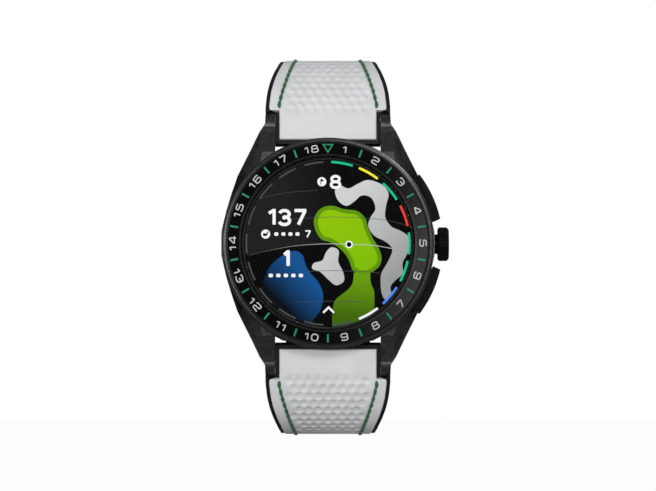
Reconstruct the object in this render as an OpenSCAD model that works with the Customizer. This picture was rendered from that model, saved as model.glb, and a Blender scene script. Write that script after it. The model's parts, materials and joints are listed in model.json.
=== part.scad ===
// Golf watch: round touch watch on a dimpled rubber strap with a butterfly clasp.
// Every module works in the watch frame: x to 3 o'clock, y to 12 o'clock, z out of
// the dial, origin at the centre of the case back. placed() stands the watch up so
// that the dial faces -Y and 12 o'clock points to +Z.

/* [Case] */
// Radius of the round case band
case_r = 22.7; // [22.4:0.1:23]
// Height of the top of the case band above the case back
band_top = 9.6; // [9.4:0.1:9.8]
// Inside radius of the case band
cavity_r = 19; // [18.9:0.1:19.1]
// Clear width between the lugs
lug_gap = 22.6; // [22.4:0.1:22.8]
// Distance of each spring bar from the middle of the case
lug_bar_y = 25.2; // [25.1:0.1:25.3]
// Height of each spring bar above the case back
lug_bar_z = 3.2; // [3.1:0.1:3.3]
// Radius of the rounded lug tips around the spring bar
lug_tip_r = 2.8; // [2.6:0.1:2.8]

/* [Bezel and glass] */
// Outside radius of the bezel ring
bezel_r = 22.5; // [22.3:0.1:22.6]
// Radius of the glass
crystal_r = 18.2; // [18:0.1:18.2]
// Height of the top of the glass
crystal_top = 12.8; // [12.6:0.1:13]
// Radius of the display panel
display_r = 17.8; // [17.4:0.1:17.8]

/* [Crown and pushers] */
// Height of the crown and pusher axes
control_z = 5.6; // [5.6:0.1:5.7]
// Radius of the crown head
crown_r = 3.6; // [3.4:0.1:3.8]
// Length of the crown head
crown_l = 2.4; // [2.2:0.1:2.6]
// Number of grooves round the crown
crown_grooves = 36; // [24:4:44]
// Angle of each pusher above and below 3 o'clock
pusher_angle = 25; // [24:1:26]
// Length of each pusher head round the case
pusher_w = 10.4; // [9.6:0.2:10.6]

/* [Strap] */
// Thickness of the strap's white outer layer
outer_t = 2.2; // [2:0.1:2.3]
// Thickness of the strap's black lining
lining_t = 1; // [0.9:0.1:1.1]
// Width of the strap's tongue between the lugs
tongue_w = 20.8; // [20.4:0.2:21]
// Width of the black lining beyond the white layer on each side
lining_edge = 0.85; // [0.6:0.05:0.9]
// Greatest distance of the strap's middle line from the middle of the case
strap_reach = 39; // [38.8:0.1:39.2]
// Depth of the strap's middle line below the case back at the clasp
strap_depth = 49; // [48.8:0.1:49.2]
// Radius of the strap's bend over the clasp
clasp_bend_r = 42; // [41.9:0.1:42.1]

/* [Clasp] */
// Distance of each clasp bar from the middle
clasp_bar_y = 5; // [4.9:0.1:5.1]
// Distance of each clasp hinge pin from the middle
clasp_pin_y = 16; // [15.9:0.1:16.1]
// Width of the folding arms
arm_w = 18.4; // [18:0.2:18.6]

/* [Hidden] */
$fn = 96;
eps = 0.02;

// Colours
black_metal = [0.09, 0.09, 0.1];
black_ceramic = [0.05, 0.05, 0.06];
black_rubber = [0.07, 0.07, 0.07];
white_rubber = [0.93, 0.93, 0.91];
thread_green = [0.05, 0.35, 0.2];
steel = [0.72, 0.72, 0.74];
board_green = [0.08, 0.3, 0.16];
dark_plastic = [0.16, 0.16, 0.18];

// Case stack
band_bottom = 1;
back_plate_z = 0.8;
back_top = 2;
flange_top = 3;
flange_r = 15.6;
back_r = 18.9;
boss_r = 14;
window_r = 8;
window_t = 0.9;
chassis_top = 7.2;
board_t = 0.7;
crystal_z = 10.6;
ledge_z = 10.5;
bezel_top = 12.7;
bezel_in = 18.5;
bezel_fall = 0.43;
insert_r = 21.3;
insert_t = 0.7;
screw_ring_r = 16.9;

// Control stack, measured outward along each control's own axis
tube_in = 19;
wall_in = 15.3;
wall_out = 15.85;
crown_face = 23.4;
crown_stem_r = 1;
crown_bore_r = 1.05;
crown_tube_r = 2.1;
pusher_stem_r = 0.75;
pusher_bore_r = 0.8;
pusher_tube_r = 1.6;
pusher_in = 22.3;
pusher_out_r = 24.6;
pusher_h = 3.2;
pocket_in = 21.6;
stem_tip = 16.35;

// Strap middle line: three arcs that leave the lug bar, turn down and close below.
// An angle along it is the slope below the horizontal, 0 pointing away from the case.
strap_half = (outer_t + lining_t) / 2;
split_t = lining_t - strap_half;
rim_t = strap_half - 0.2;
bend_join = 140;
side_bend_r = (strap_reach - clasp_bend_r * sin(bend_join)) / (1 - sin(bend_join));
low_z = clasp_bend_r - strap_depth;
side_y = strap_reach - side_bend_r;
side_z = low_z + (clasp_bend_r - side_bend_r) * cos(bend_join);
lug_rise = lug_bar_z - side_z;
lug_run = strap_reach - lug_bar_y;
start_slope = 90 - 2 * atan(lug_run / lug_rise);
lug_bend_r = lug_rise / cos(start_slope);
lug_bend_y = strap_reach - lug_bend_r;
deg = PI / 180;
arc_1 = lug_bend_r * (90 - start_slope) * deg;
arc_2 = side_bend_r * (bend_join - 90) * deg;
root_r = 4.25;
white_root_r = 3.4;
wing_clear_r = 3.2;
lining_tongue = lug_gap / 2 - 0.05;
lug_hole_r = 0.96;
lug_bar_r = 0.9;
// Half width of the lining against length along the strap from the lug bar
half_widths = [
    [0, 13.4], [4.4, 13.35], [7.5, 13], [10, 12.5], [13, 11.75], [16, 11], [20, 10.3],
    [24, 10], [50, 9.5], [90, 9.1]
];
// Distance of the stitches from the middle against the same length
stitch_line = [
    [4.4, 10.45], [7.5, 9.75], [10, 9.1], [13, 8.4], [16, 7.75], [20, 7.15], [24, 6.95],
    [50, 6.6], [90, 6.2]
];
stitch_start = 4.4;
stitch_pitch = 2;
stitch_l = 1.2;
stitch_r = 0.32;
strap_end_y = 7.2;
end_tongue_w = 12;

// Clasp layers, as radii about the clasp bend's centre
arm_r_in = 38.9;
arm_r_out = 40.1;
plate_r_in = 37.5;
plate_r_out = 38.5;
pin_ring_r = 38.7;
bar_ring_r = 41.2;
bar_r = 0.6;
bar_fit = 0.04;
pin_z = low_z - sqrt(pin_ring_r * pin_ring_r - clasp_pin_y * clasp_pin_y);
bar_z = low_z - sqrt(bar_ring_r * bar_ring_r - clasp_bar_y * clasp_bar_y);
knuckle_r = 1.35;
knuckle_split = 3.6;
ear_in = 7.4;
end_half_w = 7.2;
block_half_w = 8;
block_half_y = 1.9;
button_r = 1.2;
button_z = low_z - 40.8;

// Height of the bezel's sloping face at a radius.
function bezel_cone_z(r) = bezel_top - bezel_fall * (r - bezel_in - 0.45);

function spine_slope(s) =
    s < arc_1 ? start_slope + s / lug_bend_r / deg
    : s < arc_1 + arc_2 ? 90 + (s - arc_1) / side_bend_r / deg
    : bend_join + (s - arc_1 - arc_2) / clasp_bend_r / deg;
function spine_centre(s) =
    s < arc_1 ? [lug_bend_y, side_z]
    : s < arc_1 + arc_2 ? [side_y, side_z]
    : [0, low_z];
function spine_radius(s) =
    s < arc_1 ? lug_bend_r : s < arc_1 + arc_2 ? side_bend_r : clasp_bend_r;
function spine_point(s, t) =
    spine_centre(s) + (spine_radius(s) + t) * [sin(spine_slope(s)), cos(spine_slope(s))];

// ---- Helpers ----

// Stands the watch up: dial to -Y, 12 o'clock to +Z.
module placed() {
    rotate([90, 0, 0]) children();
}

// Extrudes a y-z outline along x, centred.
module along_x(width) {
    rotate([90, 0, 90]) linear_extrude(height = width, center = true) children();
}

// Cylinder along x, centred on [y, z].
module rod_x(r, length, y, z) {
    translate([0, y, z]) rotate([0, 90, 0]) cylinder(r = r, h = length, center = true);
}

// Ring or disc standing on z.
module ring(r_out, r_in, z0, z1) {
    translate([0, 0, z0]) difference() {
        cylinder(r = r_out, h = z1 - z0);
        if (r_in > 0) {
            translate([0, 0, -1]) cylinder(r = r_in, h = z1 - z0 + 2);
        }
    }
}

// Centred box between two corners given as [x0, x1], [y0, y1], [z0, z1].
module box(xs, ys, zs) {
    translate([xs[0], ys[0], zs[0]]) cube([xs[1] - xs[0], ys[1] - ys[0], zs[1] - zs[0]]);
}

// Turns a shape built outward along +x at the control height to its own angle.
module control_at(angle) {
    rotate([0, 0, angle]) translate([0, 0, control_z]) children();
}

// Cylinder along x between two stations on a control's axis.
module rod_out(r, x0, x1) {
    translate([x0, 0, 0]) rotate([0, 90, 0]) cylinder(r = r, h = x1 - x0);
}

// Flat-wire coil spring along +x between two stations.
module coil(r, wire_w, wire_t, turns, x0, x1) {
    pitch = (x1 - x0 - wire_t) / turns;
    span = 360 * wire_t / pitch;
    steps = 4;
    inner = [for (i = [0:steps]) (r - wire_w / 2) * [cos(i * span / steps), sin(i * span / steps)]];
    outer = [for (i = [steps:-1:0]) (r + wire_w / 2) * [cos(i * span / steps), sin(i * span / steps)]];
    translate([x0, 0, 0]) rotate([0, 90, 0])
        linear_extrude(height = x1 - x0, twist = -360 * turns, slices = 16 * turns, segments = 10)
            polygon(concat(inner, outer));
}

// O-ring round a control's axis.
module o_ring(r_mid, r_wire, x) {
    translate([x, 0, 0]) rotate([0, 90, 0])
        rotate_extrude() translate([r_mid, 0]) circle(r = r_wire, $fn = 32);
}

// ---- Case ----

// Plan of a quarter of the case with its tapering lugs.
module case_plan() {
    quarter = [
        [0, 0], [0, 18], [lug_gap / 2, 18], [lug_gap / 2, 28.2], [13.35, 28.2],
        [13.45, 25.8], [14.6, 24], [16.2, 20.6], [17.9, 17.2], [19.3, 14.4], [20.6, 10.6], [21.7, 7], [22.7, 2.5],
        [22.7, 0]
    ];
    for (sx = [0, 1]) {
        for (sy = [0, 1]) {
            mirror([sx, 0]) mirror([0, sy]) polygon(quarter);
        }
    }
}

// Side view of the upper lugs: falls from the band to the rounded tip.
module lug_side() {
    polygon([
        [0, band_bottom], [19.5, band_bottom], [lug_bar_y, lug_bar_z - lug_tip_r],
        [lug_bar_y, lug_bar_z + lug_tip_r], [24.1, 6.4], [19.6, 9], [17, band_top],
        [0, band_top]
    ]);
    translate([lug_bar_y, lug_bar_z]) circle(r = lug_tip_r);
}

// Planar bevel along the upper outer edge of each lug.
module lug_bevels() {
    for (sx = [0, 1]) {
        for (sy = [0, 1]) {
            mirror([sx, 0, 0]) mirror([0, sy, 0])
                translate([17.2, 19.4, 7.9]) rotate([0, 0, -67]) rotate([38, 0, 0])
                    translate([-14, -1.6, 0]) cube([30, 8, 6]);
        }
    }
}

module case_shell() {
    difference() {
        intersection() {
            translate([0, 0, -1]) linear_extrude(height = 12) case_plan();
            union() {
                along_x(60) lug_side();
                mirror([0, 1, 0]) along_x(60) lug_side();
            }
        }
        lug_bevels();
    }
    rotate_extrude()
        polygon([
            [0, band_bottom], [21, band_bottom], [22.3, 1.9], [case_r, 3],
            [case_r, 8.7], [22.2, band_top], [0, band_top]
        ]);
}

module case_body() {
    color(black_metal) placed() difference() {
        case_shell();
        // Flat recess for the strap tongue between each pair of lugs
        for (sy = [-1, 1]) {
            translate([0, sy * 30.6, 5]) cube([lug_gap, 20, 20], center = true);
        }
        // Cavity above the flange, opening below it and seat of the back plate
        ring(cavity_r, 0, flange_top, band_top + 1);
        ring(flange_r, 0, 0, band_top);
        ring(19, 0, 0, back_top);
        // Threaded holes for the case-back screws
        for (a = [45:90:315]) {
            rotate([0, 0, a]) translate([screw_ring_r, 0, 1]) cylinder(r = 0.62, h = 3);
        }
        // Spring-bar holes in the inner faces of the lugs
        for (sy = [-1, 1]) {
            rod_x(lug_bar_r + eps, 25.4, sy * lug_bar_y, lug_bar_z);
        }
        // Crown tube hole
        control_at(0) rod_out(crown_tube_r, 17, 26);
        // Pusher tube holes and the pockets their heads move into
        for (s = [-1, 1]) {
            control_at(s * pusher_angle) {
                rod_out(pusher_tube_r, 17, 24);
                box([pocket_in, 30], [-pusher_w / 2 - 0.3, pusher_w / 2 + 0.3],
                    [-pusher_h / 2 - 0.25, pusher_h / 2 + 0.25]);
            }
        }
    }
}

module bezel_ring() {
    color(black_metal) placed() rotate_extrude()
        polygon([
            [17.9, band_top], [bezel_r - 0.15, band_top], [bezel_r, 9.8], [bezel_r, 10.9],
            [bezel_r - 0.3, 11.4], [insert_r + 0.45, bezel_cone_z(insert_r + 0.45)],
            [insert_r, bezel_cone_z(insert_r)], [insert_r, bezel_cone_z(insert_r) - insert_t],
            [bezel_in, bezel_cone_z(bezel_in) - insert_t], [bezel_in, ledge_z], [17.9, ledge_z]
        ]);
}

// Ceramic ring that carries the numerals, glued into the recess in the bezel.
module bezel_insert() {
    rim = insert_r - eps;
    color(black_ceramic) placed() rotate_extrude()
        polygon([
            [bezel_in, bezel_cone_z(bezel_in) - insert_t], [rim, bezel_cone_z(rim) - insert_t],
            [rim, bezel_cone_z(rim)], [bezel_in + 0.45, bezel_top], [bezel_in, bezel_top]
        ]);
}

module crystal() {
    color([0.6, 0.65, 0.7, 0.3]) placed() rotate_extrude()
        polygon([
            [0, crystal_z], [crystal_r, crystal_z], [crystal_r, crystal_top - 0.4],
            [crystal_r - 0.4, crystal_top], [0, crystal_top]
        ]);
}

module crystal_gasket() {
    color(black_rubber) placed() ring(18.48, crystal_r + eps, ledge_z, 12.4);
}

module display_panel() {
    color(black_ceramic) placed() ring(display_r, 0, 8.9, crystal_z);
}

// ---- Inside the case ----

// Wall behind a control that carries its switch and spring, ribbed to the ring.
module control_wall(hole_r) {
    difference() {
        union() {
            box([wall_in, wall_out], [-2.5, 2.5], [flange_top - control_z, chassis_top - control_z]);
            for (s = [-1, 1]) {
                translate([0, s * 2.2, 0])
                    box([wall_in, 17.9], [-0.3, 0.3],
                        [flange_top - control_z, chassis_top - control_z]);
            }
        }
        rod_out(hole_r, wall_in - 1, wall_out + 1);
    }
}

module chassis() {
    color(dark_plastic) placed() {
        difference() {
            ring(18.8, 17.6, flange_top, chassis_top);
            for (a = [-pusher_angle, 0, pusher_angle]) {
                control_at(a) box([17, 20], [-1.9, 1.9], [-2.2, 4]);
            }
        }
        // Floor between the battery and the board
        difference() {
            intersection() {
                ring(17.8, 0, 5.3, 6);
                box([-20, 11], [-20, 20], [5, 7]);
            }
            for (x = [-9, 3]) {
                box([x, x + 5], [-4, 4], [5, 7]);
            }
        }
        control_at(0) control_wall(1.15);
        for (s = [-1, 1]) {
            control_at(s * pusher_angle) control_wall(0.95);
        }
    }
}

module main_board() {
    color(board_green) placed() {
        difference() {
            ring(18.2, 0, chassis_top, chassis_top + board_t);
            for (a = [60:120:300]) {
                rotate([0, 0, a]) translate([17, 0, chassis_top - 1]) cylinder(r = 0.6, h = 3);
            }
        }
        // Connectors and chips on the upper face
        box([8, 13], [-3, 3], [chassis_top + board_t, 8.5]);
        box([-14, -10], [3, 7], [chassis_top + board_t, 8.4]);
        box([-13, -10], [-6, -3], [chassis_top + board_t, 8.4]);
        box([-3, 2], [-14.5, -12], [chassis_top + board_t, 8.8]);
    }
}

module shield_can() {
    color(steel) placed() difference() {
        box([-8, 6], [-8, 9], [chassis_top + board_t, 8.8]);
        box([-7.8, 5.8], [-7.8, 8.8], [chassis_top, 8.6]);
        for (x = [-6:3:3]) {
            for (y = [-6:3:6]) {
                translate([x, y, 8]) cylinder(r = 0.5, h = 2, $fn = 32);
            }
        }
    }
}

module gps_antenna() {
    color([0.75, 0.6, 0.3]) placed() intersection() {
        ring(18.8, 18.3, chassis_top, 7.7);
        box([-20, 10], [-20, 20], [7, 8]);
    }
}

module battery() {
    color([0.65, 0.67, 0.7]) placed() {
        box([-14, 10], [-9.5, 9.5], [flange_top, 5.2]);
        // Folded terminal edge
        box([10, 10.8], [-4, 4], [3.4, 4.6]);
    }
}

module vibration_motor() {
    color(steel) placed() translate([-2, -13.5, flange_top]) {
        cylinder(r = 3.4, h = 1.9);
        cylinder(r = 2.6, h = 2.2);
    }
}

module key_switches() {
    color(steel) placed() {
        for (a = [-pusher_angle, 0, pusher_angle]) {
            control_at(a) {
                box([13.5, wall_in], [-1.6, 1.6], [-1.4, 1.4]);
                rod_out(0.6, 15, 15.7);
            }
        }
    }
}

module crown_sensor() {
    color(dark_plastic) placed() box([15.9, 17.5], [-1.4, 1.4], [flange_top, 3.9]);
}

module crown_tube() {
    color(black_metal) placed() control_at(0) difference() {
        rod_out(crown_tube_r, tube_in, crown_face + 0.2);
        rod_out(crown_bore_r, tube_in - 1, crown_face + 1);
    }
}

module pusher_tubes() {
    color(black_metal) placed() {
        for (s = [-1, 1]) {
            control_at(s * pusher_angle) difference() {
                rod_out(pusher_tube_r, 18.6, pocket_in - 0.05);
                rod_out(pusher_bore_r, 18, 22);
            }
        }
    }
}

// ---- Case back ----

module case_back() {
    color(black_metal) placed() difference() {
        union() {
            ring(boss_r, 0, 0, back_top);
            ring(back_r, 0, back_plate_z, back_top);
        }
        ring(window_r + 0.03, 0, -1, back_top);
        ring(10, 0, window_t, back_top + 1);
        ring(18.52, 17.88, 1.5, back_top + 1);
        for (a = [45:90:315]) {
            rotate([0, 0, a]) translate([screw_ring_r, 0, 0]) {
                cylinder(r = 1.25, h = 1.5);
                cylinder(r = 0.65, h = 4);
            }
        }
        for (x = [-4.5:3:4.5]) {
            translate([x, -11.6, -1]) cylinder(r = 0.62, h = 4);
        }
    }
}

module case_back_gasket() {
    color(black_rubber) placed() ring(18.5, 17.9, 1.5, back_top);
}

module case_back_screws() {
    color(steel) placed() {
        for (a = [45:90:315]) {
            rotate([0, 0, a]) translate([screw_ring_r, 0, 0]) difference() {
                union() {
                    translate([0, 0, 0.9]) cylinder(r = 1.2, h = 0.6);
                    translate([0, 0, 1.4]) cylinder(r = 0.6, h = 1.6);
                }
                translate([0, 0, 0.5]) cylinder(r = 0.6, h = 0.7, $fn = 6);
            }
        }
    }
}

module sensor_window() {
    color([0.1, 0.1, 0.12, 0.6]) placed() ring(window_r, 0, 0, window_t);
}

module sensor_board() {
    color(board_green) placed() {
        ring(9.8, 0, 1.35, back_top);
        // Lamps round the light sensor
        box([-1.4, 1.4], [-1.4, 1.4], [0.95, 1.4]);
        for (a = [0:90:270]) {
            rotate([0, 0, a]) box([4.2, 5.6], [-0.6, 0.6], [0.95, 1.4]);
        }
    }
}

module charging_contacts() {
    color([0.85, 0.7, 0.35]) placed() {
        for (x = [-4.5:3:4.5]) {
            translate([x, -11.6, 0]) cylinder(r = 0.6, h = 2.6);
        }
    }
}

module spring_bars() {
    color(steel) placed() {
        for (sy = [-1, 1]) {
            rod_x(lug_bar_r, 25.2, sy * lug_bar_y, lug_bar_z);
        }
    }
}

// ---- Crown ----

module crown_collar() {
    color(black_metal) placed() control_at(0) difference() {
        rod_out(1.55, 17.5, 18.35);
        rod_out(crown_bore_r, 17, 19);
    }
}

module crown_spring() {
    color(steel) placed() control_at(0) coil(1.35, 0.26, 0.2, 3, wall_out + eps, 17.48);
}

module crown_head() {
    color(black_metal) placed() control_at(0) difference() {
        translate([crown_face, 0, 0]) rotate([0, 90, 0]) rotate_extrude()
            polygon([
                [0, 0], [crown_r - 0.35, 0], [crown_r, 0.35], [crown_r, crown_l - 0.45],
                [crown_r - 0.5, crown_l], [0, crown_l]
            ]);
        rod_out(2.45, 23, crown_face + 1.1);
        rod_out(crown_stem_r, 23, crown_face + 1.6);
        for (i = [0:crown_grooves - 1]) {
            rotate([i * 360 / crown_grooves, 0, 0]) translate([0, 0, crown_r + 0.02])
                rod_out(0.17, crown_face - 1, crown_face + crown_l - 0.3);
        }
        // Shallow dish in the end face
        translate([crown_face + crown_l + 11.85, 0, 0]) sphere(r = 12);
    }
}

module crown_stem() {
    color(steel) placed() control_at(0) difference() {
        union() {
            rod_out(crown_stem_r, stem_tip, crown_face + 1.6);
            rod_out(1.5, 18.4, 18.95);
        }
        translate([20.6, 0, 0]) difference() {
            rod_out(2, 0, 0.8);
            rod_out(0.75, -1, 2);
        }
    }
}

module crown_o_ring() {
    color(black_rubber) placed() control_at(0) o_ring(0.895, 0.13, 21);
}

// ---- Pushers, built at 3 o'clock and turned to their places ----

module pusher_head() {
    difference() {
        intersection() {
            translate([0, 0, -control_z]) ring(pusher_out_r, 0, 0, 12);
            box([pusher_in, 26], [-pusher_w / 2, pusher_w / 2], [-pusher_h / 2, pusher_h / 2]);
            // Bevelled outer edges
            rotate_extrude()
                polygon([
                    [0, -2], [24.1, -2], [pusher_out_r, -0.9], [pusher_out_r, 0.9],
                    [24.1, 2], [0, 2]
                ]);
        }
        rod_out(pusher_stem_r, 20, 23);
    }
}

module pusher_stem() {
    difference() {
        union() {
            rod_out(pusher_stem_r, stem_tip, 23);
            rod_out(1.3, 18.05, 18.55);
        }
        translate([19.6, 0, 0]) difference() {
            rod_out(2, 0, 0.8);
            rod_out(0.5, -1, 2);
        }
    }
}

module pusher_o_ring() {
    o_ring(0.64, 0.13, 20);
}

module pusher_spring() {
    coil(1.15, 0.24, 0.2, 4, wall_out + eps, 18.03);
}

module pusher_top_head() {
    color(black_metal) placed() control_at(pusher_angle) pusher_head();
}

module pusher_top_stem() {
    color(steel) placed() control_at(pusher_angle) pusher_stem();
}

module pusher_top_o_ring() {
    color(black_rubber) placed() control_at(pusher_angle) pusher_o_ring();
}

module pusher_top_spring() {
    color(steel) placed() control_at(pusher_angle) pusher_spring();
}

module pusher_bottom_head() {
    color(black_metal) placed() control_at(-pusher_angle) pusher_head();
}

module pusher_bottom_stem() {
    color(steel) placed() control_at(-pusher_angle) pusher_stem();
}

module pusher_bottom_o_ring() {
    color(black_rubber) placed() control_at(-pusher_angle) pusher_o_ring();
}

module pusher_bottom_spring() {
    color(steel) placed() control_at(-pusher_angle) pusher_spring();
}

// ---- Strap, drawn for the 12 o'clock side ----

// Part of a curved band between two slopes, t0 to t1 off the middle line.
module band(centre, r, t0, t1, a0, a1) {
    reach = 90;
    mid = (a0 + a1) / 2;
    translate(centre) intersection() {
        difference() {
            circle(r = r + t1, $fn = 180);
            circle(r = r + t0, $fn = 180);
        }
        polygon([
            [0, 0], reach * [sin(a0), cos(a0)], 1.3 * reach * [sin(mid), cos(mid)],
            reach * [sin(a1), cos(a1)]
        ]);
    }
}

// Side view of one strap layer from the tongue to the clasp end.
module strap_side(t0, t1, root) {
    band([lug_bend_y, side_z], lug_bend_r, t0, t1, start_slope - 0.01, 90.01);
    band([side_y, side_z], side_bend_r, t0, t1, 90, bend_join + 0.01);
    intersection() {
        band([0, low_z], clasp_bend_r, t0, t1, bend_join, 180);
        translate([strap_end_y, -strap_depth - 10]) square([60, 60]);
    }
    translate([lug_bar_y, lug_bar_z]) intersection() {
        circle(r = root);
        rotate(-start_slope) translate([-8, t0]) square([8 + eps, t1 - t0]);
    }
}

// Plan that narrows the strap: seen from the front near the lug, from the side below.
module strap_width(inset) {
    bend = [for (s = [1:1.5:arc_1 - 1]) [lookup(s, half_widths) - inset, spine_point(s, rim_t)[0]]];
    bend_back = [for (i = [len(bend) - 1:-1:0]) [-bend[i][0], bend[i][1]]];
    half_top = half_widths[0][1] - inset;
    end_half = lookup(arc_1, half_widths) - inset;
    translate([0, 0, -70]) linear_extrude(height = 90)
        polygon(concat(
            [[-half_top, -1], [half_top, -1]], bend, [[end_half, 45], [-end_half, 45]],
            bend_back
        ));
}

module strap_taper(inset) {
    steps = [for (s = [arc_1:6:arc_1 + arc_2]) [lookup(s, half_widths) - inset, spine_point(s, 0)[1]]];
    back = [for (i = [len(steps) - 1:-1:0]) [-steps[i][0], steps[i][1]]];
    end_half = lookup(90, half_widths) - inset;
    half_top = half_widths[0][1] - inset;
    rotate([90, 0, 0]) linear_extrude(height = 120, center = true)
        polygon(concat(
            [[-half_top, 20], [half_top, 20], [half_top, -2]], steps,
            [[end_half, -60], [-end_half, -60]], back, [[-half_top, -2]]
        ));
}

// One strap layer with the lug cut-outs, the spring-bar hole and the clasp notches.
module strap_layer(t0, t1, root, inset, tongue_half) {
    difference() {
        intersection() {
            along_x(40) strap_side(t0, t1, root);
            strap_width(inset);
            strap_taper(inset);
        }
        for (s = [-1, 1]) {
            translate([s * (tongue_half + 10), 0, 0]) {
                rod_x(wing_clear_r, 20, lug_bar_y, lug_bar_z);
                translate([0, lug_bar_y - 10, lug_bar_z]) cube([20, 20, 20], center = true);
            }
            // Room for the clasp arm's ears
            translate([s * (end_half_w + 10), 4, low_z - clasp_bend_r])
                cube([20, 2 * (clasp_bar_y + 3.4 - 4), 20], center = true);
        }
        rod_x(lug_hole_r, 40, lug_bar_y, lug_bar_z);
    }
}

module strap_outer() {
    difference() {
        strap_layer(split_t, strap_half, white_root_r, lining_edge, tongue_w / 2);
        strap_end_tongue(0.03);
    }
}

// Lining with raised rims on both sides of the white layer and cheeks round the spring bar.
module strap_lining() {
    difference() {
        strap_layer(-strap_half, rim_t, root_r, 0, lining_tongue);
        strap_layer(split_t, strap_half + 1, white_root_r, lining_edge, tongue_w / 2);
    }
}

// Two rows of stitches along the edges, each a short round-ended run of thread.
module strap_stitches() {
    last = arc_1 + arc_2 + 20;
    for (side = [-1, 1]) {
        for (s = [stitch_start:stitch_pitch:last]) {
            p = spine_point(s, strap_half);
            x = side * lookup(s, stitch_line);
            slope = spine_slope(s);
            translate([x, p[0], p[1]]) rotate([-slope, 0, 0]) rotate([-90, 0, 0]) {
                translate([0, 0, -stitch_l / 2]) cylinder(r = stitch_r, h = stitch_l, $fn = 32);
                for (e = [-1, 1]) {
                    translate([0, 0, e * stitch_l / 2]) sphere(r = stitch_r, $fn = 32);
                }
            }
        }
    }
}

// Flat tongue of the metal end that is moulded into the strap's white layer.
module strap_end_tongue(gap) {
    along_x(end_tongue_w + 2 * gap) intersection() {
        band([0, low_z], clasp_bend_r, split_t - gap / 10, split_t + 0.8 + gap, bend_join, 180);
        translate([strap_end_y - 1, -strap_depth - 10]) square([3.4 + gap, 20]);
    }
}

// Metal end round the clasp bar. slot opens it towards the strap's tip.
module strap_end(slot) {
    difference() {
        union() {
            rod_x(1.8, 2 * end_half_w, clasp_bar_y, bar_z);
            along_x(2 * end_half_w) intersection() {
                band([0, low_z], clasp_bend_r, -strap_half, strap_half, bend_join, 180);
                translate([clasp_bar_y, -strap_depth - 10])
                    square([strap_end_y - clasp_bar_y, 20]);
            }
            intersection() {
                strap_end_tongue(0);
                translate([0, strap_end_y, -strap_depth])
                    cube([20, 10, 20], center = true);
            }
        }
        if (slot) {
            // Slot for the bar, a little higher at its closed end
            along_x(30) translate([clasp_bar_y, bar_z]) rotate(-atan2(clasp_bar_y, 41)) {
                translate([0.6, -0.05]) circle(r = 1.05);
                translate([-4, -0.9]) square([4.6, 1.8]);
            }
        } else {
            rod_x(bar_r + bar_fit, 30, clasp_bar_y, bar_z);
        }
    }
}

module strap_12_outer() {
    color(white_rubber) placed() strap_outer();
}

module strap_12_lining() {
    color(black_rubber) placed() strap_lining();
}

module strap_12_stitching() {
    color(thread_green) placed() strap_stitches();
}

module strap_12_end() {
    color(black_metal) placed() strap_end(false);
}

module strap_6_outer() {
    color(white_rubber) placed() mirror([0, 1, 0]) strap_outer();
}

module strap_6_lining() {
    color(black_rubber) placed() mirror([0, 1, 0]) strap_lining();
}

module strap_6_stitching() {
    color(thread_green) placed() mirror([0, 1, 0]) strap_stitches();
}

module strap_6_end() {
    color(black_metal) placed() mirror([0, 1, 0]) strap_end(true);
}

// ---- Clasp, arms drawn for the 12 o'clock side ----

module clasp_arm() {
    difference() {
        union() {
            // Curved leaf between the hinge and the bar
            along_x(arm_w) intersection() {
                band([0, low_z], 0, arm_r_in, arm_r_out, bend_join, 180);
                translate([clasp_bar_y + 3, -strap_depth - 10])
                    square([clasp_pin_y - clasp_bar_y - 3, 30]);
            }
            // Side rails from the leaf to the ears
            for (s = [-1, 1]) {
                translate([s * (ear_in + arm_w / 2) / 2, 0, 0]) {
                    along_x(arm_w / 2 - ear_in) intersection() {
                        band([0, low_z], 0, arm_r_in, arm_r_out, bend_join, 180);
                        translate([clasp_bar_y, -strap_depth - 10]) square([4, 30]);
                    }
                    rod_x(1.7, arm_w / 2 - ear_in, clasp_bar_y, bar_z);
                }
            }
            rod_x(knuckle_r, arm_w, clasp_pin_y, pin_z);
        }
        // Room for the plate's knuckle
        rod_x(knuckle_r + 0.25, 2 * knuckle_split + 0.2, clasp_pin_y, pin_z);
        rod_x(bar_r + bar_fit, 40, clasp_pin_y, pin_z);
        rod_x(bar_r + 0.01, 40, clasp_bar_y, bar_z);
        // Long slot that lightens the leaf
        translate([0, 0, low_z]) rotate([15.5, 0, 0]) translate([0, 0, -40])
            linear_extrude(height = 6, center = true) {
                square([8, 1.6], center = true);
                for (s = [-1, 1]) {
                    translate([s * 4, 0]) circle(r = 0.8);
                }
            }
    }
}

module clasp_bar() {
    rod_x(bar_r, arm_w - 0.2, clasp_bar_y, bar_z);
}

module clasp_arm_12() {
    color(black_metal) placed() clasp_arm();
}

module clasp_bar_12() {
    color(steel) placed() clasp_bar();
}

module clasp_arm_6() {
    color(black_metal) placed() mirror([0, 1, 0]) clasp_arm();
}

module clasp_bar_6() {
    color(steel) placed() mirror([0, 1, 0]) clasp_bar();
}

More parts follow.
